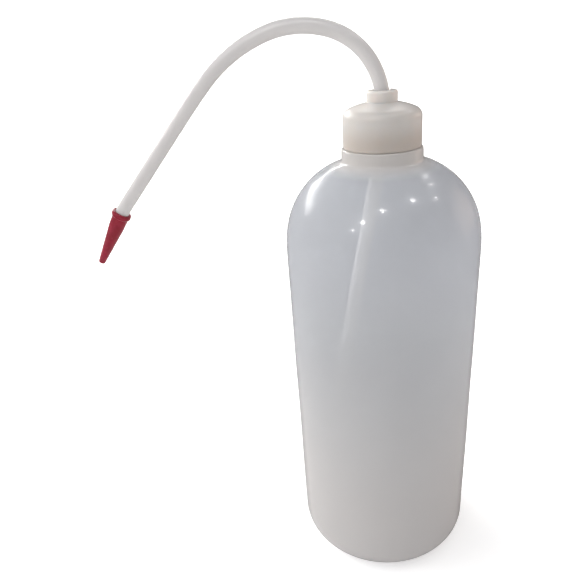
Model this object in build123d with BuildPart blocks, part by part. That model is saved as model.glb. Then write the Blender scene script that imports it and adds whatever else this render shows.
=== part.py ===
"""Laboratory wash bottle: a 500 mL squeeze bottle whose screw cap carries one bent delivery tube.

Origin: centre of the foot ring, on the surface the bottle stands on. +Z up, spout towards -X. Millimetres.
The whole tube lies in the XZ plane: dip tube, straight run through the cap, spout and nozzle.
"""

import os
from math import asin, cos, degrees, radians, sin, sqrt, tan

from build123d import *

# ---------------------------------------------------------------- driving dimensions
# Bottle
BODY_RADIUS = 36.0
WALL = 1.0
BASE_CORNER = 11.0  # outer radius between base and side
WALL_TOP = 135.7  # where the straight side ends
SHOULDER_ARCS = [(54.0, 8.9), (29.0, 65.7)]  # radius, degrees: from the side up to the collar
FOOT_RING = 3.5  # width of the flat ring the bottle stands on
PUSH_UP = 3.0  # depth of the hollow under the base, at its centre
PUSH_UP_EDGE = 1.8  # and at its rim
PUSH_UP_SLOPE = 2.0  # run of the slope from foot ring to hollow

# Neck: the collar below the cap, then the threaded finish inside it
COLLAR_TOP = 172.0
COLLAR_RADIUS = 14.25
COLLAR_WALL = 1.5
NECK_RADIUS = 10.9  # at the thread's root
NECK_BORE = 9.3
NECK_TOP = 181.0

# Screw thread: 8 turns to the inch, one and a half turns on each part
PITCH = 3.175
THREAD_TURNS = 1.5
THREAD_START = 174.2  # height of the middle of both ridges' lower ends
NECK_THREAD_CREST = 11.95
CAP_THREAD_CREST = 11.2
RIDGE_ROOT = 1.6  # width of a ridge at its wall
RIDGE_TIP = 0.8
RIDGE_SINK = 0.15  # depth that a ridge is rooted in its wall

# Cap
SKIRT_RADIUS = 13.65
SKIRT_BOTTOM = 172.4
SKIRT_BORE = 12.25
SKIRT_DRAFT = 0.1
DOME_RADIUS = 30.0
DOME_CENTRE = 157.2  # height of the domed top's centre of curvature
DOME_CORNER = 3.0  # radius between the skirt and the domed top
DOME_WALL = 1.6
RECESS_RADIUS = 7.2  # hollow between the washer's seat and the guide boss
STUB_RADIUS = 5.25
STUB_TOP = 190.5
BOSS_RADIUS = 4.0
BOSS_BOTTOM = 176.5
FLARE_RADIUS = 3.1  # opening of the tube's bore at the top of the stub

# Sealing washer
WASHER_INNER = 7.8
WASHER_OUTER = 11.9
WASHER_THICKNESS = 1.0

# Delivery tube
TUBE_RADIUS = 2.5
TUBE_BORE = 1.5
TUBE_FIT = 0.05  # radial clearance in the cap and in the nozzle
DIP_LEAN = 10.5  # degrees from vertical
DIP_BEND = 35.0
DIP_BEND_TOP = 176.3
DIP_END = 7.0  # height of the dip tube's open end
SPOUT_START = 188.2  # the bends begin here, just inside the stub's flare
SPOUT_ARCS = [(13.5, 10.6), (24.3, 62.4), (34.5, 35.5), (55.4, 27.2), (228.0, 3.2)]  # radius, degrees
SPOUT_RUN = 44.95  # straight run after the arcs
LAST_BEND = (12.0, 8.3)  # radius, degrees: where the tube enters the nozzle
INSERTION = 5.4  # length of tube inside the nozzle

# Nozzle, measured along its own axis from the mouth
NOZZLE_LENGTH = 24.15
SOCKET_DEPTH = 5.5
FLANGE_RADIUS = 3.6
FLANGE_THICKNESS = 1.7
SLEEVE_START = 2.3
SLEEVE_RADIUS = 3.0
CONE_START = 6.3
CONE_START_RADIUS = 2.92
CONE_END_RADIUS = 1.25
THROAT_RADIUS = 1.5
ORIFICE_RADIUS = 0.45


def ridge(wall_radius, crest_radius, start_angle):
    """Thread ridge: a trapezoid on a wall, swept up the helix. It points inwards if its crest is smaller."""
    sink = RIDGE_SINK if crest_radius > wall_radius else -RIDGE_SINK
    with BuildPart() as thread:
        with BuildLine():
            Helix(PITCH, PITCH * THREAD_TURNS, wall_radius, center=(0, 0, THREAD_START))
        with BuildSketch(Plane.XZ):
            with BuildLine():
                Polyline(
                    (wall_radius - sink, THREAD_START - RIDGE_ROOT / 2),
                    (crest_radius, THREAD_START - RIDGE_TIP / 2),
                    (crest_radius, THREAD_START + RIDGE_TIP / 2),
                    (wall_radius - sink, THREAD_START + RIDGE_ROOT / 2),
                    close=True,
                )
            make_face()
        sweep(is_frenet=True)
    return thread.part.rotate(Axis.Z, start_angle)


def rim(part, radius, height):
    """The circular edge of a part turned about Z that is nearest this radius and height."""
    circles = part.edges().filter_by(GeomType.CIRCLE)
    return circles.sort_by(lambda edge: abs(edge.radius - radius) + abs(edge.arc_center.Z - height))[0]


def shoulder(inset):
    """Side and shoulder up to the collar, this far inside the outer surface. Gives the last arc."""
    edge = Line((BODY_RADIUS - inset, BASE_CORNER), (BODY_RADIUS - inset, WALL_TOP))
    for radius, turn in SHOULDER_ARCS:
        edge = JernArc(edge @ 1, edge % 1, radius - inset, turn)
    return edge


def base(inset):
    """Base corner, foot ring and the domed hollow under the base, this far inside the outer surface."""
    foot_outer = BODY_RADIUS - BASE_CORNER
    foot_inner = foot_outer - FOOT_RING + inset / 2
    hollow = foot_inner - PUSH_UP_SLOPE
    rise = PUSH_UP - PUSH_UP_EDGE
    dome_radius = (hollow**2 + rise**2) / (2 * rise)
    JernArc((foot_outer, inset), (1, 0), BASE_CORNER - inset, 90)
    dome = JernArc((0, PUSH_UP + inset), (1, 0), dome_radius, -degrees(asin(hollow / dome_radius)))
    Polyline(dome @ 1, (foot_inner, inset), (foot_outer, inset))


# ---------------------------------------------------------------- bottle
neck_ridge = ridge(NECK_RADIUS, NECK_THREAD_CREST, 0)
collar_bore = COLLAR_RADIUS - COLLAR_WALL

with BuildPart() as bottle:
    with BuildSketch(Plane.XZ):
        with BuildLine():
            base(0)
            collar_foot = shoulder(0) @ 1
            Polyline(
                collar_foot,
                (COLLAR_RADIUS, COLLAR_TOP),
                (NECK_RADIUS, COLLAR_TOP),
                (NECK_RADIUS, NECK_TOP),
                (NECK_BORE, NECK_TOP),
                (NECK_BORE, COLLAR_TOP - COLLAR_WALL),
                (collar_bore, COLLAR_TOP - 2 * COLLAR_WALL),
                shoulder(WALL) @ 1,
            )
            base(WALL)
            Line((0, PUSH_UP), (0, PUSH_UP + WALL))
        make_face()
    revolve(axis=Axis.Z)
    fillet(rim(bottle, collar_foot.X, collar_foot.Y), 1.2)
    fillet(rim(bottle, COLLAR_RADIUS, COLLAR_TOP), 0.5)
    fillet(rim(bottle, NECK_RADIUS, NECK_TOP), 0.3)
    add(neck_ridge)
bottle.part.label = "bottle"


# ---------------------------------------------------------------- screw cap
def dome_height(radius, inset=0.0):
    """Height of the cap's domed top at this radius, or of the same dome one inset further in."""
    return DOME_CENTRE + sqrt((DOME_RADIUS - inset) ** 2 - radius**2)


cap_ridge = ridge(SKIRT_BORE, CAP_THREAD_CREST, 180)
washer_seat = NECK_TOP + WASHER_THICKNESS
skirt_top_radius = SKIRT_RADIUS - SKIRT_DRAFT
dome_corner = (skirt_top_radius, dome_height(skirt_top_radius))
dome_middle = ((STUB_RADIUS + SKIRT_RADIUS) / 2, dome_height((STUB_RADIUS + SKIRT_RADIUS) / 2))
stub_foot = (STUB_RADIUS, dome_height(STUB_RADIUS))
tube_hole = TUBE_RADIUS + TUBE_FIT

with BuildPart() as screw_cap:
    with BuildSketch(Plane.XZ):
        with BuildLine():
            Polyline((SKIRT_BORE, SKIRT_BOTTOM), (SKIRT_RADIUS, SKIRT_BOTTOM), dome_corner)
            ThreePointArc(dome_corner, dome_middle, stub_foot)
            Polyline(
                stub_foot,
                (STUB_RADIUS, STUB_TOP),
                (FLARE_RADIUS, STUB_TOP),
                (tube_hole, SPOUT_START),
                (tube_hole, BOSS_BOTTOM),
                (BOSS_RADIUS, BOSS_BOTTOM),
                (BOSS_RADIUS, dome_height(BOSS_RADIUS, DOME_WALL)),
                (RECESS_RADIUS, dome_height(RECESS_RADIUS, DOME_WALL)),
                (RECESS_RADIUS, washer_seat),
                (SKIRT_BORE, washer_seat),
                (SKIRT_BORE, SKIRT_BOTTOM),
            )
        make_face()
    revolve(axis=Axis.Z)
    fillet(rim(screw_cap, *dome_corner), DOME_CORNER)
    fillet(rim(screw_cap, *stub_foot), 0.6)
    fillet(rim(screw_cap, STUB_RADIUS, STUB_TOP), 0.8)
    fillet(rim(screw_cap, SKIRT_RADIUS, SKIRT_BOTTOM), 0.3)
    add(cap_ridge)
screw_cap.part.label = "screw_cap"

# ---------------------------------------------------------------- sealing washer
with BuildPart() as sealing_washer:
    with BuildSketch(Plane.XY.offset(NECK_TOP)):
        Circle(WASHER_OUTER)
        Circle(WASHER_INNER, mode=Mode.SUBTRACT)
    extrude(amount=WASHER_THICKNESS)
    chamfer(sealing_washer.edges().filter_by(GeomType.CIRCLE), 0.15)
sealing_washer.part.label = "sealing_washer"

# ---------------------------------------------------------------- delivery tube
dip_lean = radians(DIP_LEAN)
dip_top_x = -DIP_BEND * (1 - cos(dip_lean))
dip_top_z = DIP_BEND_TOP - DIP_BEND * sin(dip_lean)
dip_foot_x = dip_top_x - (dip_top_z - DIP_END) * tan(dip_lean)

with BuildPart() as delivery_tube:
    with BuildLine(Plane.XZ) as tube_path:
        run = Line((dip_foot_x, DIP_END), (dip_top_x, dip_top_z))
        run = JernArc(run @ 1, run % 1, DIP_BEND, DIP_LEAN)
        run = Line(run @ 1, (0, SPOUT_START))
        for radius, turn in SPOUT_ARCS:
            run = JernArc(run @ 1, run % 1, radius, turn)
        run = Line(run @ 1, run @ 1 + SPOUT_RUN * (run % 1))
        run = JernArc(run @ 1, run % 1, *LAST_BEND)
        Line(run @ 1, run @ 1 + INSERTION * (run % 1))
    with BuildSketch(Plane(origin=tube_path.line @ 0, z_dir=tube_path.line % 0)):
        Circle(TUBE_RADIUS)
        Circle(TUBE_BORE, mode=Mode.SUBTRACT)
    sweep(path=tube_path.line)
delivery_tube.part.label = "delivery_tube"

# ---------------------------------------------------------------- nozzle
nozzle_axis = tube_path.line % 1
nozzle_mouth = tube_path.line @ 1 - INSERTION * nozzle_axis
sideways = Vector(0, 1, 0)  # across the plane of the tube

with BuildPart() as tip_nozzle:
    with BuildSketch(Plane(origin=nozzle_mouth, x_dir=sideways, z_dir=sideways.cross(nozzle_axis))) as section:
        with BuildLine():
            outline = Polyline(
                (tube_hole, 0),
                (FLANGE_RADIUS, 0),
                (FLANGE_RADIUS, FLANGE_THICKNESS),
                (SLEEVE_RADIUS, SLEEVE_START),
                (CONE_START_RADIUS, CONE_START),
                (CONE_END_RADIUS, NOZZLE_LENGTH),
                (ORIFICE_RADIUS, NOZZLE_LENGTH),
                (THROAT_RADIUS, SOCKET_DEPTH),
                (tube_hole, SOCKET_DEPTH),
                close=True,
            )
        make_face()
        corners = section.vertices()
        fillet(corners.group_by(Axis.Y)[0].sort_by(Axis.X)[-1], 0.6)
    revolve(axis=Axis(nozzle_mouth, nozzle_axis))
tip_nozzle.part.label = "tip_nozzle"

# ---------------------------------------------------------------- export
os.makedirs("parts", exist_ok=True)
for piece in (bottle, screw_cap, sealing_washer, delivery_tube, tip_nozzle):
    export_step(piece.part, f"parts/{piece.part.label}.step")
print("nozzle mouth", nozzle_mouth, "axis", nozzle_axis)
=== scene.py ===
"""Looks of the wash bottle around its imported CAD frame. Metres, +Z up, spout towards -X."""

from math import asin, atan2, cos, degrees, pi, radians, sin, sqrt

import bmesh
import bpy
from mathutils import Matrix, Vector, noise


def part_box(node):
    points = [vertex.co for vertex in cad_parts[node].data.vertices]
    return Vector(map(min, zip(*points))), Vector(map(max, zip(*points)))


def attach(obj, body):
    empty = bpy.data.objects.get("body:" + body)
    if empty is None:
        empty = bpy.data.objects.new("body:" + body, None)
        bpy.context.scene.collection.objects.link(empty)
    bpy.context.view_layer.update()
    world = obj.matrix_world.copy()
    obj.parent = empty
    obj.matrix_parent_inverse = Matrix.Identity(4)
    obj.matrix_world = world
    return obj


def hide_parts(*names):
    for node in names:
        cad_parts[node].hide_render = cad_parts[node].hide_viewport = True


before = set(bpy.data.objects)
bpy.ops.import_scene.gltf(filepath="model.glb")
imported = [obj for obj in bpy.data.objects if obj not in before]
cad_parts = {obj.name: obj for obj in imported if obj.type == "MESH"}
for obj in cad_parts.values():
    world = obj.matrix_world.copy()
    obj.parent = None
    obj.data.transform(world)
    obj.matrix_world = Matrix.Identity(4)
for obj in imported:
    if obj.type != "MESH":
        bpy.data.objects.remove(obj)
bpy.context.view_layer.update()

MM = 0.001

# ---------------------------------------------------------------- sizes, millimetres
BOTTLE_LOW, BOTTLE_HIGH = (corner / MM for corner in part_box("bottle"))
CAP_LOW, CAP_HIGH = (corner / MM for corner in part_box("screw_cap"))
BODY_RADIUS = BOTTLE_HIGH.x
NECK_TOP = BOTTLE_HIGH.z
WALL = 1.0
BASE_CORNER = 11.0
WALL_TOP = 135.7
SHOULDER_ARCS = [(54.0, 8.9), (29.0, 65.7)]  # radius, degrees
FOOT_RING = 3.5
PUSH_UP = 3.0
PUSH_UP_EDGE = 1.8
PUSH_UP_SLOPE = 2.0

COLLAR_TOP = NECK_TOP - 9.0
COLLAR_RADIUS = 14.25
COLLAR_WALL = 1.5
NECK_RADIUS = 10.9
NECK_BORE = 9.3

PITCH = 3.175
THREAD_TURNS = 1.5
THREAD_START = NECK_TOP - 6.8
NECK_THREAD_CREST = 11.95
CAP_THREAD_CREST = 11.2
RIDGE_ROOT = 1.6
RIDGE_TIP = 0.8
RIDGE_SINK = 0.15

SKIRT_RADIUS = CAP_HIGH.x
SKIRT_DRAFT = 0.1
SKIRT_BOTTOM = CAP_LOW.z - 0.2  # nearly closes the gap above the collar
SKIRT_BORE = 12.25
DOME_RADIUS = 30.0
DOME_CENTRE = NECK_TOP - 23.8
DOME_CORNER = 3.0  # radius between the skirt and the dome
DOME_WALL = 1.6
WASHER_SEAT = NECK_TOP + 1.0
RECESS_RADIUS = 7.2
STUB_RADIUS = 5.25
STUB_TOP = CAP_HIGH.z
BOSS_RADIUS = 4.0
BOSS_BOTTOM = NECK_TOP - 4.5
TUBE_HOLE = 2.55
FLARE_RADIUS = 3.1

TUBE_RADIUS = 2.5
TUBE_BORE = 1.5
DIP_LEAN = 10.5
DIP_BEND = 35.0
DIP_BEND_TOP = 176.3
DIP_END = 7.0
SPOUT_START = STUB_TOP - 2.3  # the bends begin here, just inside the stub
SPOUT_ARCS = [(13.5, 10.6), (24.3, 62.4), (34.5, 35.5), (55.4, 27.2), (228.0, 3.2)]
SPOUT_RUN = 44.95
LAST_BEND = (12.0, 8.3)
INSERTION = 5.4

# Nozzle, along its own axis from the mouth
NOZZLE_LENGTH = 24.15
SOCKET_DEPTH = 5.5
FLANGE_RADIUS = 3.6
FLANGE_THICKNESS = 1.7
SLEEVE_START = 2.3
SLEEVE_RADIUS = 3.0
CONE_START = 6.3
CONE_START_RADIUS = 2.92
CONE_END_RADIUS = 1.25
THROAT_RADIUS = 1.5
ORIFICE_RADIUS = 0.45


# ---------------------------------------------------------------- outlines
class Pen:
    """Draws straight runs and tangent arcs in the XZ plane. Heading 0 is +X and 90 is +Z."""

    def __init__(self, x, z, heading):
        self.points = [Vector((x, z))]
        self.heading = radians(heading)

    @property
    def direction(self):
        return Vector((cos(self.heading), sin(self.heading)))

    def run(self, length):
        self.points.append(self.points[-1] + length * self.direction)
        return self

    def to(self, x, z):
        step = Vector((x, z)) - self.points[-1]
        self.heading = Vector((1, 0)).angle_signed(step) * -1
        self.points.append(Vector((x, z)))
        return self

    def bend(self, radius, turn, degrees_per_step=2.0):
        """An arc that turns left by turn degrees, or right if it is negative."""
        side = 1 if turn > 0 else -1
        start = self.heading
        centre = self.points[-1] + side * radius * Vector((-sin(start), cos(start)))
        steps = max(2, round(abs(turn) / degrees_per_step))
        for step in range(1, steps + 1):
            self.heading = start + radians(turn) * step / steps
            outwards = Vector((sin(self.heading), -cos(self.heading)))
            self.points.append(centre + side * radius * outwards)
        return self


def rounded(corners, steps=5):
    """An outline's points from (r, z, fillet radius) corners. Fillets are tangent to both sides."""
    points = []
    for index, (r, z, fillet) in enumerate(corners):
        here = Vector((r, z))
        if not fillet:
            points.append(here)
            continue
        before = (Vector(corners[index - 1][:2]) - here).normalized()
        after = (Vector(corners[(index + 1) % len(corners)][:2]) - here).normalized()
        half = before.angle(after) / 2
        centre = here + (before + after).normalized() * fillet / sin(half)
        first = here + before * fillet * cos(half) / sin(half) - centre
        last = here + after * fillet * cos(half) / sin(half) - centre
        whole = first.angle_signed(last)
        for step in range(steps + 1):
            points.append(centre + Matrix.Rotation(-whole * step / steps, 2) @ first)
    return points


# ---------------------------------------------------------------- meshes
SHARP_ANGLE = 38  # degrees: a sharper edge than this isn't shaded smooth


def lathe(outline, angles, slots=None, closed=True, wobble=None):
    """Vertices, faces and slot numbers of an (r, z) outline turned about Z."""
    verts, faces, face_slots, rings = [], [], [], []
    for point in outline:
        if abs(point.x) < 1e-6:
            rings.append([len(verts)] * len(angles))
            verts.append(Vector((0, 0, point.y)))
            continue
        rings.append(range(len(verts), len(verts) + len(angles)))
        for angle in angles:
            vert = Vector((point.x * cos(angle), point.x * sin(angle), point.y))
            verts.append(wobble(vert) if wobble else vert)
    count = len(outline)
    for i in range(count if closed else count - 1):
        low, high = rings[i], rings[(i + 1) % count]
        for j in range(len(angles)):
            k = (j + 1) % len(angles)
            quad = dict.fromkeys((low[j], low[k], high[k], high[j]))
            if len(quad) > 2:
                faces.append(tuple(quad))
                face_slots.append(slots[i] if slots else 0)
    return verts, faces, face_slots


def sweep(path, radius_out, radius_in, sides=40):
    """A tube along (x, z) points: outside, inside and two annular ends."""
    verts, faces = [], []
    for index, point in enumerate(path):
        ahead = path[min(index + 1, len(path) - 1)] - path[max(index - 1, 0)]
        across = Vector((-ahead.y, ahead.x)).normalized()
        for radius in (radius_out, radius_in):
            for side in range(sides):
                angle = 2 * pi * side / sides
                offset = across * radius * cos(angle)
                verts.append(Vector((point.x + offset.x, radius * sin(angle), point.y + offset.y)))
    ring = 2 * sides

    def band(first, second):
        for side in range(sides):
            following = (side + 1) % sides
            faces.append((first + side, first + following, second + following, second + side))

    for index in range(len(path) - 1):
        band(index * ring, (index + 1) * ring)
        band((index + 1) * ring + sides, index * ring + sides)
    band(0, sides)
    band((len(path) - 1) * ring + sides, (len(path) - 1) * ring)
    return verts, faces, [0] * len(faces)


def thread(wall_radius, crest_radius, start_angle, fade=25.0, degrees_per_step=5.0):
    """A helical ridge on a wall that rises out of it at both ends."""
    sink = RIDGE_SINK if crest_radius > wall_radius else -RIDGE_SINK
    verts, faces = [], []
    whole = 360 * THREAD_TURNS
    steps = round(whole / degrees_per_step)
    for step in range(steps + 1):
        turned = whole * step / steps
        rise = min(1, turned / fade, (whole - turned) / fade)
        root, crest = wall_radius - sink, wall_radius + (crest_radius - wall_radius) * rise
        height = THREAD_START + PITCH * turned / 360
        angle = radians(start_angle + turned)
        section = [(root, -RIDGE_ROOT), (crest, -RIDGE_TIP), (crest, RIDGE_TIP), (root, RIDGE_ROOT)]
        for r, width in section:
            verts.append(Vector((r * cos(angle), r * sin(angle), height + width / 2)))
    for step in range(steps):
        for side in range(4):
            low, high = 4 * step, 4 * step + 4
            faces.append((low + side, low + (side + 1) % 4, high + (side + 1) % 4, high + side))
    faces += [(3, 2, 1, 0), tuple(4 * steps + side for side in range(4))]
    return verts, faces, [0] * len(faces)


def add_object(name, data):
    obj = bpy.data.objects.new(name, data)
    bpy.context.scene.collection.objects.link(obj)
    return obj


def piece(name, shells, materials, body, node, matrix=None):
    """One object from closed shells in millimetres. It rides on a body, for a CAD node."""
    verts, faces, face_slots = [], [], []
    for shell_verts, shell_faces, shell_slots in shells:
        base = len(verts)
        verts += shell_verts
        faces += [tuple(base + index for index in face) for face in shell_faces]
        face_slots += shell_slots
    mesh = bpy.data.meshes.new(name)
    mesh.from_pydata([(matrix @ v if matrix else v) * MM for v in verts], [], faces)
    for polygon, slot_number in zip(mesh.polygons, face_slots):
        polygon.material_index = slot_number
    tidy = bmesh.new()
    tidy.from_mesh(mesh)
    bmesh.ops.recalc_face_normals(tidy, faces=tidy.faces)
    tidy.to_mesh(mesh)
    tidy.free()
    mesh.shade_smooth()
    mesh.set_sharp_from_angle(angle=radians(SHARP_ANGLE))
    for material in materials:
        mesh.materials.append(material)
    obj = add_object(name, mesh)
    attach(obj, body)
    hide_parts(node)
    return obj


# ---------------------------------------------------------------- materials
class Shader:
    """A new material's node tree, with a short way to add and join nodes."""

    def __init__(self, name):
        self.material = bpy.data.materials.new(name)
        self.material.use_nodes = True
        self.tree = self.material.node_tree
        self.tree.nodes.clear()
        self.place = self.node("ShaderNodeTexCoord").outputs["Object"]

    def node(self, kind, inputs=None, **settings):
        made = self.tree.nodes.new(kind)
        for name, value in settings.items():
            setattr(made, name, value)
        for name, value in (inputs or {}).items():
            if isinstance(value, bpy.types.NodeSocket):
                self.tree.links.new(value, made.inputs[name])
            else:
                made.inputs[name].default_value = value
        return made

    def noise(self, scale, detail=3.0, roughness=0.5, stretch=(1, 1, 1)):
        """Noise from 0 to 1. Scale is in features per metre, multiplied by stretch on each axis."""
        mapping = self.node("ShaderNodeMapping", {"Vector": self.place, "Scale": stretch})
        texture = self.node(
            "ShaderNodeTexNoise",
            {
                "Vector": mapping.outputs[0],
                "Scale": scale,
                "Detail": detail,
                "Roughness": roughness,
            },
        )
        return texture.outputs[0]

    def ramp(self, value, low, high, out_low=0.0, out_high=1.0):
        """A soft step from out_low to out_high while the value goes from low to high."""
        inputs = {
            "Value": value,
            "From Min": low,
            "From Max": high,
            "To Min": out_low,
            "To Max": out_high,
        }
        return self.node("ShaderNodeMapRange", inputs, interpolation_type="SMOOTHSTEP").outputs[0]

    def height(self):
        """Height above the bottle's foot, in metres."""
        return self.node("ShaderNodeSeparateXYZ", {"Vector": self.place}).outputs["Z"]

    def math(self, operation, first, second):
        return self.node("ShaderNodeMath", {0: first, 1: second}, operation=operation).outputs[0]

    def blend(self, factor, first, second):
        """A mix of two colours."""
        made = self.node("ShaderNodeMix", {"Factor": factor}, data_type="RGBA")
        for socket, colour in ((made.inputs[6], first), (made.inputs[7], second)):
            if isinstance(colour, bpy.types.NodeSocket):
                self.tree.links.new(colour, socket)
            else:
                socket.default_value = (*colour, 1)
        return made.outputs[2]

    def bump(self, value, distance, strength=1.0, normal=None):
        inputs = {"Height": value, "Distance": distance, "Strength": strength}
        if normal:
            inputs["Normal"] = normal
        return self.node("ShaderNodeBump", inputs).outputs[0]

    def mix(self, share, first, second):
        """A mix of two shaders. Share is how much of the second."""
        return self.node("ShaderNodeMixShader", {0: share, 1: first, 2: second}).outputs[0]

    def done(self, shader):
        self.node("ShaderNodeOutputMaterial", {"Surface": shader})
        return self.material


# Heights in metres where a material changes
LOW_WALL = (0.02, 0.12)  # painted bounce light: the bottle's foot is painted paler and warmer, going over into the wall above it
CLEARER_WALL = (0.05, 0.15)
THICK_NECK = (0.164, 0.1685)
THREADED_SKIRT = (0.1745, 0.1815)  # the cap is doubled by the threads below this
# painted light: above this the stub is painted paler than the cap, though it is the same plastic
STUB_FOOT = (0.1855, 0.188)
UNDER_THE_CAP = (0.16, 0.18)

LIMB = (0.74, 0.95)  # where the painted shade at the outline sets in: facing, from 0 at right angles to 1 at the outline
# colour of the painted shade at the outline
LIMB_SHADE_COLOUR = (0.22, 0.205, 0.20)


def painted_limb_shade(shader, colour, share):
    """The colour, with painted shade where the surface turns away towards its outline."""
    facing = shader.node("ShaderNodeLayerWeight", {"Blend": 0.5}).outputs["Facing"]
    return shader.blend(shader.ramp(facing, *LIMB, 0.0, share), colour, LIMB_SHADE_COLOUR)


WEAR_PALER = 0.08
WEAR_ROUGHER = 0.1
WORN_COLOUR = (0.95, 0.95, 0.95)


def moulded(shader, light, dark, rough_low, rough_high, peel=0.00002, wave=0.0):
    """Colour, roughness and normal of moulded plastic: cloudy colour, orange peel, fine scuffs.

    Peel and wave are the depths in metres of the fine and of the slow unevenness."""
    cloud = shader.ramp(shader.noise(26, detail=2, roughness=0.4), 0.25, 0.75)
    scuff = shader.ramp(shader.noise(1500, detail=1, stretch=(1, 1, 0.08)), 0.6, 0.68)
    rub = shader.ramp(shader.noise(70, detail=4, roughness=0.7), 0.56, 0.85)
    wear = shader.math("MULTIPLY", scuff, rub)
    colour = shader.blend(cloud, dark, light)
    colour = shader.blend(shader.math("MULTIPLY", wear, WEAR_PALER), colour, WORN_COLOUR)
    roughness = shader.ramp(cloud, 0, 1, rough_low, rough_high)
    roughness = shader.math("ADD", roughness, shader.math("MULTIPLY", wear, WEAR_ROUGHER))
    normal = shader.bump(shader.noise(1400, detail=1), peel, 0.5)
    if wave:
        normal = shader.bump(shader.noise(45, detail=1), wave, 0.6, normal)
    return colour, roughness, normal


def bottle_wall(name, clear, tone):
    """Natural low-density polyethylene: hazy, clearest at the shoulder, opaque at the thick neck.

    Clear is the share seen straight through at its clearest, and tone multiplies the colour."""
    shader = Shader(name)
    light = tone * Vector((0.757, 0.768, 0.782))
    dark = tone * Vector((0.717, 0.728, 0.742))
    colour, roughness, normal = moulded(shader, light, dark, 0.29, 0.36, wave=0.0002)
    thick = shader.ramp(shader.height(), *THICK_NECK)
    # painted bounce light from the floor: paler and warmer towards the foot
    painted_bounce = shader.ramp(shader.height(), *LOW_WALL)
    colour = shader.blend(painted_bounce, tone * Vector((0.83, 0.81, 0.80)), colour)
    # painted shade towards the bottle's outline
    colour = painted_limb_shade(shader, shader.blend(thick, colour, (0.85, 0.82, 0.79)), 0.55)
    body = shader.node(
        "ShaderNodeBsdfPrincipled",
        {
            "Base Color": colour,
            "Roughness": roughness,
            "Normal": normal,
            "IOR": 1.51,
            "Coat Weight": 0.6,
            "Coat Roughness": 0.09,
            "Coat Normal": normal,
        },
    )
    glow = shader.node("ShaderNodeBsdfTranslucent", {"Color": colour, "Normal": normal})
    haze = shader.mix(0.4, body.outputs[0], glow.outputs[0])
    clearer = shader.ramp(shader.height(), *CLEARER_WALL, 0.25 * clear, clear)
    thin = shader.math("MULTIPLY", clearer, shader.ramp(thick, 0, 1, 1.0, 0.12))
    through = shader.node("ShaderNodeBsdfTransparent", {"Color": (0.97, 0.98, 1, 1)})
    return shader.done(shader.mix(thin, haze, through.outputs[0]))


def cap_plastic():
    """Natural off-white polyethylene, satin, thick enough to hide what is behind it."""
    shader = Shader("cap_plastic")
    light, dark = (0.68, 0.645, 0.61), (0.65, 0.61, 0.575)
    colour, roughness, normal = moulded(shader, light, dark, 0.34, 0.42)
    threaded = shader.ramp(shader.height(), *THREADED_SKIRT, 1.0, 0.0)
    # painted light: the stub is painted paler than the cap
    stub = shader.ramp(shader.height(), *STUB_FOOT)
    colour = shader.blend(threaded, colour, (0.575, 0.515, 0.465))
    # painted shade towards the cap's outline
    colour = painted_limb_shade(shader, shader.blend(stub, colour, (0.76, 0.725, 0.69)), 0.45)
    body = shader.node(
        "ShaderNodeBsdfPrincipled",
        {
            "Base Color": colour,
            "Roughness": roughness,
            "Normal": normal,
            "IOR": 1.5,
            "Subsurface Weight": 0.6,
            "Subsurface Radius": (1.0, 0.8, 0.65),
            "Subsurface Scale": 0.003,
        },
    )
    return shader.done(body.outputs[0])


PAINTED_INSIDE_GLOW = 0.07  # painted glow: emission that stands in for the light scattered back and forth inside the hazy bottle
BOTTLE_SIDE = (-0.048, -0.04)  # x between the bottle and the spout's low end


def tube_plastic():
    """Translucent natural tube with a soft gloss and faint scuffs; inside the bottle it is painted
    paler and glows faintly, as painted light.
    """
    shader = Shader("tube_plastic")
    light, dark = (0.9, 0.88, 0.87), (0.87, 0.85, 0.84)
    colour, roughness, normal = moulded(shader, light, dark, 0.31, 0.38, peel=0.000006)
    across = shader.node("ShaderNodeSeparateXYZ", {"Vector": shader.place}).outputs["X"]
    below_cap = shader.ramp(shader.height(), *UNDER_THE_CAP, 1.0, 0.0)
    # painted light: inside the bottle the tube is painted paler and glows a little
    inside = shader.math("MULTIPLY", below_cap, shader.ramp(across, *BOTTLE_SIDE))
    colour = shader.blend(inside, colour, (0.99, 0.98, 0.96))
    body = shader.node(
        "ShaderNodeBsdfPrincipled",
        {
            "Base Color": colour,
            "Roughness": roughness,
            "Normal": normal,
            "IOR": 1.5,
            "Coat Weight": 0.2,
            "Coat Roughness": 0.22,
            "Emission Color": (1, 0.95, 0.89, 1),
            "Emission Strength": shader.math("MULTIPLY", inside, PAINTED_INSIDE_GLOW),
        },
    )
    glow = shader.node("ShaderNodeBsdfTranslucent", {"Color": colour, "Normal": normal})
    return shader.done(shader.mix(0.25, body.outputs[0], glow.outputs[0]))


def nozzle_plastic():
    """Deep red moulded polyethylene, paler where its edges are rubbed."""
    shader = Shader("nozzle_plastic")
    cloud = shader.noise(260, detail=4)
    streak = shader.noise(700, detail=2, stretch=(1, 1, 0.2))
    rub = shader.ramp(shader.noise(520, detail=5, roughness=0.7), 0.56, 0.72)
    dark, light = (0.26, 0.005, 0.021), (0.35, 0.01, 0.036)
    colour = shader.blend(shader.ramp(cloud, 0.3, 0.7), dark, light)
    colour = shader.blend(shader.math("MULTIPLY", rub, 0.25), colour, (0.45, 0.07, 0.10))
    body = shader.node(
        "ShaderNodeBsdfPrincipled",
        {
            "Base Color": colour,
            "Roughness": shader.ramp(streak, 0.3, 0.7, 0.28, 0.44),
            "Normal": shader.bump(shader.noise(1600, detail=2), 0.00003, 0.6),
            "IOR": 1.45,
            "Specular IOR Level": 0.35,
            "Subsurface Weight": 0.2,
            "Subsurface Radius": (1.0, 0.2, 0.2),
            "Subsurface Scale": 0.0012,
            "Coat Weight": 0.08,
            "Coat Roughness": 0.1,
        },
    )
    return shader.done(body.outputs[0])


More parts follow.
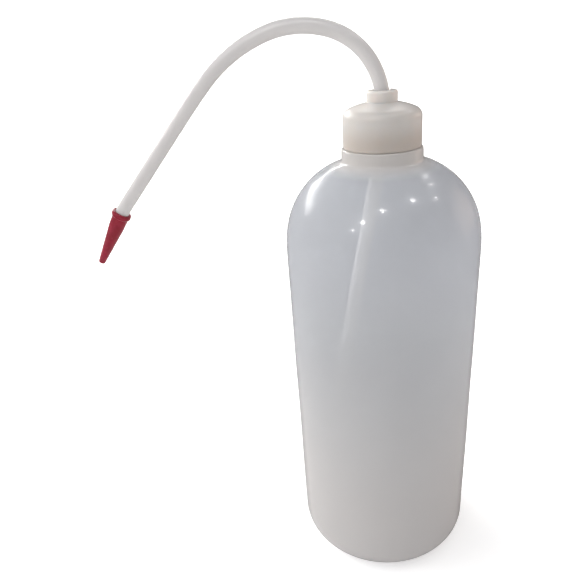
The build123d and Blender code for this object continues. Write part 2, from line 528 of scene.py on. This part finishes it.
def washer_foam():
    """Soft white foamed polyethylene with a fine cell texture."""
    shader = Shader("washer_foam")
    cells = shader.node("ShaderNodeTexVoronoi", {"Vector": shader.place, "Scale": 2600.0})
    cells = cells.outputs[0]
    body = shader.node(
        "ShaderNodeBsdfPrincipled",
        {
            "Base Color": shader.blend(shader.noise(300), (0.80, 0.80, 0.78), (0.88, 0.88, 0.86)),
            "Roughness": shader.ramp(cells, 0, 0.6, 0.6, 0.85),
            "Normal": shader.bump(cells, 0.0001, 0.5),
        },
    )
    return shader.done(body.outputs[0])


# ---------------------------------------------------------------- turned shapes
SEGMENTS = 192
NOZZLE_SEGMENTS = 64
WALL_STEPS = 12  # rings up the straight side, for the waviness
DOME_STEPS = 12
DOME_FIRST_STEP = 3  # the first ones are taken up by the corner's fillet

PARTING_WIDTH = 0.5  # degrees either side of the mould's parting line
PARTING_HEIGHT = 0.12
WAVE_DEPTH = 0.16
WAVE_SCALE = 0.028  # waves per millimetre
WAVE_FOOT = 2.0  # the waviness starts at this height
WAVE_COLLAR_GAP = 4.0  # it ends this far below the collar's top, and this far out from the neck
WAVE_FADE = 15.0  # it grows over this height at both ends


def around(count, parting=False):
    """Angles round the axis, with narrow extra steps where the mould's halves met."""
    angles = {round(2 * pi * step / count, 6) for step in range(count)}
    if parting:
        for side in (0, pi):
            for step in (-1, -0.5, 0.5, 1):
                angles.add(round((side + radians(PARTING_WIDTH) * step) % (2 * pi), 6))
    return sorted(angles)


def wall_point(vert):
    """A point of the blown wall: a slow waviness, and the parting line on the +X and -X sides."""
    radius = vert.xy.length
    wave_top = COLLAR_TOP - WAVE_COLLAR_GAP
    if radius < NECK_RADIUS + WAVE_COLLAR_GAP or not WAVE_FOOT <= vert.z <= wave_top:
        return vert
    fade = min(1, (vert.z - WAVE_FOOT) / WAVE_FADE, (wave_top - vert.z) / WAVE_FADE)
    change = WAVE_DEPTH * fade * noise.noise(vert * WAVE_SCALE)
    off_line = degrees(atan2(abs(vert.y), abs(vert.x)))
    if off_line < PARTING_WIDTH and radius > BODY_RADIUS - WALL / 2:
        change += PARTING_HEIGHT * (1 - off_line / PARTING_WIDTH)
    return Vector((*(vert.xy * (1 + change / radius)), vert.z))


def base_outline(inset):
    """From the axis out to the top of the base corner."""
    foot_outer = BODY_RADIUS - BASE_CORNER
    foot_inner = foot_outer - FOOT_RING + inset / 2
    hollow = foot_inner - PUSH_UP_SLOPE
    rise = PUSH_UP - PUSH_UP_EDGE
    dome_radius = (hollow**2 + rise**2) / (2 * rise)
    pen = Pen(0, PUSH_UP + inset, 0)
    pen.bend(dome_radius, -degrees(asin(hollow / dome_radius)), 1.5)
    pen.to(foot_inner - 0.4, inset + 0.15)
    pen.to(foot_inner + 0.3, inset)
    pen.to(foot_outer, inset)
    pen.heading = 0
    return pen.bend(BASE_CORNER - inset, 90, 4).points


def shoulder_outline(inset):
    """From the base corner up the side and over the shoulder."""
    pen = Pen(BODY_RADIUS - inset, BASE_CORNER, 90)
    for _ in range(WALL_STEPS):
        pen.run((WALL_TOP - BASE_CORNER) / WALL_STEPS)
    for radius, turn in SHOULDER_ARCS:
        pen.bend(radius - inset, turn)
    return pen.points[1:]


def bottle_shell():
    """The hollow bottle, from the axis out, up, over the neck's rim and back down inside."""
    outside = base_outline(0) + shoulder_outline(0)
    inside = base_outline(WALL) + shoulder_outline(WALL)
    foot, inner_foot = outside.pop(), inside[-1]
    collar_bore = COLLAR_RADIUS - COLLAR_WALL
    neck = rounded(
        [
            (outside[-1].x, outside[-1].y, 0),
            (foot.x, foot.y, 1.2),
            (COLLAR_RADIUS, COLLAR_TOP, 0.5),
            (NECK_RADIUS, COLLAR_TOP, 0.2),
            (NECK_RADIUS, NECK_TOP, 0.3),
            (NECK_BORE, NECK_TOP, 0.3),
            (NECK_BORE, COLLAR_TOP - COLLAR_WALL, 1.0),
            (collar_bore, COLLAR_TOP - 2 * COLLAR_WALL, 0.4),
            (inner_foot.x, inner_foot.y, 0),
        ]
    )[1:-1]
    outline = outside + neck + inside[::-1]
    outer_count = len(outside) + len(neck) // 2
    slots = [0 if index < outer_count else 1 for index in range(len(outline))]
    angles = around(SEGMENTS, parting=True)
    return lathe(outline, angles, slots, closed=False, wobble=wall_point)


def cap_shell():
    """Skirt, domed top and stub, with the washer's seat, the recess and the guide boss inside."""

    def dome(radius, inset=0.0):
        return DOME_CENTRE + sqrt((DOME_RADIUS - inset) ** 2 - radius**2)

    skirt_top = SKIRT_RADIUS - SKIRT_DRAFT
    step_in = (skirt_top - STUB_RADIUS) / DOME_STEPS
    dome_radii = [skirt_top - step_in * step for step in range(DOME_FIRST_STEP, DOME_STEPS)]
    corners = [(SKIRT_BORE, SKIRT_BOTTOM, 0.2), (SKIRT_RADIUS, SKIRT_BOTTOM, 0.3)]
    corners += [(skirt_top, dome(skirt_top), DOME_CORNER)]
    corners += [(radius, dome(radius), 0) for radius in dome_radii]
    corners += [
        (STUB_RADIUS, dome(STUB_RADIUS), 0.25),
        (STUB_RADIUS, STUB_TOP, 0.8),
        (FLARE_RADIUS, STUB_TOP, 0.2),
        (TUBE_HOLE, SPOUT_START, 0),
        (TUBE_HOLE, BOSS_BOTTOM, 0),
        (BOSS_RADIUS, BOSS_BOTTOM, 0.3),
        (BOSS_RADIUS, dome(BOSS_RADIUS, DOME_WALL), 0),
        (RECESS_RADIUS, dome(RECESS_RADIUS, DOME_WALL), 0),
        (RECESS_RADIUS, WASHER_SEAT, 0),
        (SKIRT_BORE, WASHER_SEAT, 0),
    ]
    return lathe(rounded(corners), around(SEGMENTS))


def nozzle_shell():
    """Flange, sleeve and cone, with the socket and the throat inside."""
    corners = [
        (TUBE_HOLE, 0, 0.15),
        (FLANGE_RADIUS, 0, 0.6),
        (FLANGE_RADIUS, FLANGE_THICKNESS, 0.4),
        (SLEEVE_RADIUS, SLEEVE_START, 0.4),
        (CONE_START_RADIUS, CONE_START, 1.0),
        (CONE_END_RADIUS, NOZZLE_LENGTH, 0.5),
        (ORIFICE_RADIUS, NOZZLE_LENGTH, 0.15),
        (THROAT_RADIUS, SOCKET_DEPTH, 0),
        (TUBE_HOLE, SOCKET_DEPTH, 0),
    ]
    return lathe(rounded(corners), around(NOZZLE_SEGMENTS))


# ---------------------------------------------------------------- the pieces
dip_pen = Pen(0, DIP_BEND_TOP, 270).bend(DIP_BEND, -DIP_LEAN)
dip_pen.run((dip_pen.points[-1].y - DIP_END) / cos(radians(DIP_LEAN)))
spout_pen = Pen(0, SPOUT_START, 90)
for arc_radius, turn in SPOUT_ARCS:
    spout_pen.bend(arc_radius, turn)
spout_pen.run(SPOUT_RUN)
spout_pen.bend(*LAST_BEND)
nozzle_mouth = Vector((spout_pen.points[-1].x, 0, spout_pen.points[-1].y))
nozzle_axis = Vector((spout_pen.direction.x, 0, spout_pen.direction.y))
spout_pen.run(INSERTION)

piece(
    "wash_bottle",
    [bottle_shell(), thread(NECK_RADIUS, NECK_THREAD_CREST, 0)],
    # painted shade: the inside of the wall is a darker copy of the same plastic (tone 0.8), the
    # outside a slightly paler one (tone 1.05)
    [bottle_wall("bottle_wall_outside", 0.62, 1.05), bottle_wall("bottle_wall_inside_painted_shade", 0.78, 0.8)],
    body="bottle",
    node="bottle",
)
piece(
    "screw_cap_with_stub",
    [cap_shell(), thread(SKIRT_BORE, CAP_THREAD_CREST, 180)],
    [cap_plastic()],
    body="cap",
    node="screw_cap",
)
piece(
    "spout_and_dip_tube",
    [sweep(dip_pen.points[::-1] + spout_pen.points, TUBE_RADIUS, TUBE_BORE)],
    [tube_plastic()],
    body="tube",
    node="delivery_tube",
)
nozzle_turn = nozzle_axis.to_track_quat("Z", "Y").to_matrix().to_4x4()
piece(
    "red_tip_nozzle",
    [nozzle_shell()],
    [nozzle_plastic()],
    body="nozzle",
    node="tip_nozzle",
    matrix=Matrix.Translation(nozzle_mouth) @ nozzle_turn,
)
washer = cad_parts["sealing_washer"]
washer.data.materials.clear()
washer.data.materials.append(washer_foam())


# ---------------------------------------------------------------- stage
BOUNCE_FRONT = (0.90, 0.885, 0.875)  # how pale the floor is to light that bounces off it
BOUNCE_BACK = (0.34, 0.34, 0.35)
BOUNCE_FADE = (-0.05, 0.3)  # y where the one goes over into the other
FLOOR_LIFT = 0.4  # emission that makes the floor white to the camera only
SKY_SEEN = 1.1  # how bright the room is to the camera only, so that it goes on from the floor
FLOOR_FRONT, FLOOR_BACK, FLOOR_HALF_WIDTH = -4.0, 1.2, 6.0


def pale_stage():
    """Floor that runs on into a low curved backdrop behind the object."""
    shader = Shader("pale_floor")
    speckle = shader.ramp(shader.noise(9, detail=5), 0.3, 0.7)
    ray = shader.node("ShaderNodeLightPath").outputs
    straight = shader.math("LESS_THAN", ray["Transparent Depth"], 0.5)
    direct = shader.math("MULTIPLY", ray["Is Camera Ray"], straight)
    seen = shader.blend(speckle, (0.95, 0.95, 0.95), (0.97, 0.97, 0.97))
    depth = shader.node("ShaderNodeSeparateXYZ", {"Vector": shader.place}).outputs["Y"]
    bounced = shader.blend(shader.ramp(depth, *BOUNCE_FADE), BOUNCE_FRONT, BOUNCE_BACK)
    paint = shader.node(
        "ShaderNodeBsdfPrincipled",
        {
            "Base Color": shader.blend(direct, bounced, seen),
            "Roughness": shader.ramp(speckle, 0, 1, 0.6, 0.75),
            "Emission Color": (1, 1, 1, 1),
            "Emission Strength": shader.math("MULTIPLY", direct, FLOOR_LIFT),
        },
    )
    line = Pen(FLOOR_FRONT, 0, 0).to(FLOOR_BACK, 0).bend(0.5, 60, 5).run(0.15).points
    verts = [(side * FLOOR_HALF_WIDTH, point.x, point.y) for point in line for side in (-1, 1)]
    faces = [(2 * i, 2 * i + 1, 2 * i + 3, 2 * i + 2) for i in range(len(line) - 1)]
    mesh = bpy.data.meshes.new("pale_floor")
    mesh.from_pydata(verts, [], faces)
    mesh.shade_smooth()
    mesh.materials.append(shader.done(paint.outputs[0]))
    add_object("pale_floor", mesh)


def area_light(name, where, size, radiance, colour=(1, 1, 1), shape="RECTANGLE", shows="both"):
    """An area light at a place in metres that faces the object. Size is (width, height).

    Shows is "both", or "light" for one that isn't mirrored in gloss, or "mirrored" for one that
    lights nothing and is only mirrored."""
    light = bpy.data.lights.new(name, "AREA")
    light.shape = shape
    light.size, light.size_y = size
    light.color = colour
    light.energy = radiance * pi * size[0] * size[1]
    obj = add_object(name, light)
    obj.location = where
    obj.rotation_euler = (Vector((0, 0, 0.1)) - Vector(where)).to_track_quat("-Z", "Y").to_euler()
    obj.visible_glossy = shows != "light"
    obj.visible_diffuse = shows != "mirrored"


def toward(azimuth, elevation, distance):
    """A point seen from the bottle's shoulder at an azimuth, from +Y towards +X, and elevation."""
    a, e = radians(azimuth), radians(elevation)
    return Vector((sin(a) * cos(e), cos(a) * cos(e), sin(e))) * distance + Vector((0, 0, 0.15))


CEILING = 2.4
FAR_GLARE = 50
BRIGHT_SIDE = Vector((-0.35, -0.9, 0.25))  # the room is brighter this way
ROOM_DIM, ROOM_BRIGHT = 0.24, 0.60


def light_room():
    """Two windows at the back left, fills, a row of ceiling lamps that only shine in the gloss."""
    area_light("window", toward(-49.5, 20, 1.7), (1.12, 0.3), 15.0, (1.0, 0.99, 0.97))
    area_light("side_window", toward(-27, 22, 1.7), (0.75, 0.07), 22.0, (1.0, 0.99, 0.97))
    area_light("left_fill", (-2.6, -0.2, 1.25), (2.0, 1.6), 3.7, (1.0, 0.99, 0.98), shows="light")
    area_light("overhead", (-0.3, -0.3, 2.8), (2.6, 2.6), 0.5, shows="light")
    area_light("right_bounce", (1.8, 1.0, 0.4), (1.4, 1.2), 2.0, (1.0, 0.77, 0.64))
    low_right = (1.3, -1.5, 0.25)
    area_light("low_right_fill", low_right, (0.9, 0.5), 1.1, (1.0, 0.97, 0.95), shows="light")
    row_start, row_step = Vector((-2.35, -3.0, CEILING)), Vector((1.18, 0.87, 0))
    row_glare = (150, 200, 110, 100, 50)
    lamps = [(row_start + row_step * number, glare) for number, glare in enumerate(row_glare)]
    lamps += [(Vector((x, y, CEILING)), FAR_GLARE) for x, y in ((1.75, 1.35), (1.4, 2.0))]
    lamps += [(toward(azimuth, 42, 3.0), FAR_GLARE) for azimuth in (-14, 0, 14)]
    for number, (where, glare) in enumerate(lamps):
        name, size, colour = f"downlight_{number}", (0.2, 0.2), (1, 0.98, 0.95)
        area_light(name, where, size, glare, colour, "DISK", shows="mirrored")
    world = bpy.data.worlds.new("room")
    world.use_nodes = True
    nodes, links = world.node_tree.nodes, world.node_tree.links
    turn = nodes.new("ShaderNodeVectorMath")
    turn.operation = "DOT_PRODUCT"
    turn.inputs[1].default_value = BRIGHT_SIDE.normalized()
    fade = nodes.new("ShaderNodeMapRange")
    ends = {"From Min": -1, "From Max": 1, "To Min": ROOM_DIM, "To Max": ROOM_BRIGHT}
    for end, value in ends.items():
        fade.inputs[end].default_value = value
    links.new(nodes.new("ShaderNodeTexCoord").outputs["Generated"], turn.inputs[0])
    links.new(turn.outputs["Value"], fade.inputs["Value"])
    rays = nodes.new("ShaderNodeLightPath").outputs
    straight, direct = nodes.new("ShaderNodeMath"), nodes.new("ShaderNodeMath")
    straight.operation, direct.operation = "LESS_THAN", "MULTIPLY"
    seen = nodes.new("ShaderNodeMix")
    links.new(rays["Transparent Depth"], straight.inputs[0])
    links.new(straight.outputs[0], direct.inputs[0])
    links.new(rays["Is Camera Ray"], direct.inputs[1])
    links.new(direct.outputs[0], seen.inputs["Factor"])
    links.new(fade.outputs[0], seen.inputs["A"])
    seen.inputs["B"].default_value = SKY_SEEN
    links.new(seen.outputs["Result"], nodes["Background"].inputs["Strength"])
    nodes["Background"].inputs["Color"].default_value = (0.96, 0.975, 1.0, 1)
    bpy.context.scene.world = world


CAMERA_PLACE = (0, -0.206, 0.2097)
CAMERA_LENS = 35.48  # millimetres, on a sensor 36 wide
CAMERA_SHIFT = (-0.0517, 0.0517)
CAMERA_PAN = 7.01  # degrees to the left of +Y
CAMERA_DIP = 26.97  # degrees below the horizon
CAMERA_ROLL = -3.29


def add_camera():
    camera = bpy.data.cameras.new("camera")
    camera.lens = CAMERA_LENS
    camera.sensor_width = 36
    camera.shift_x, camera.shift_y = CAMERA_SHIFT
    camera.clip_start, camera.clip_end = 0.01, 50
    obj = add_object("camera", camera)
    obj.location = CAMERA_PLACE
    pan = Matrix.Rotation(radians(CAMERA_PAN), 3, "Z")
    dip = Matrix.Rotation(radians(90 - CAMERA_DIP), 3, "X")
    roll = Matrix.Rotation(radians(CAMERA_ROLL), 3, "Z")
    obj.rotation_euler = (pan @ dip @ roll).to_euler()
    bpy.context.scene.camera = obj


pale_stage()
light_room()
add_camera()
bpy.context.scene.view_settings.view_transform = "Standard"
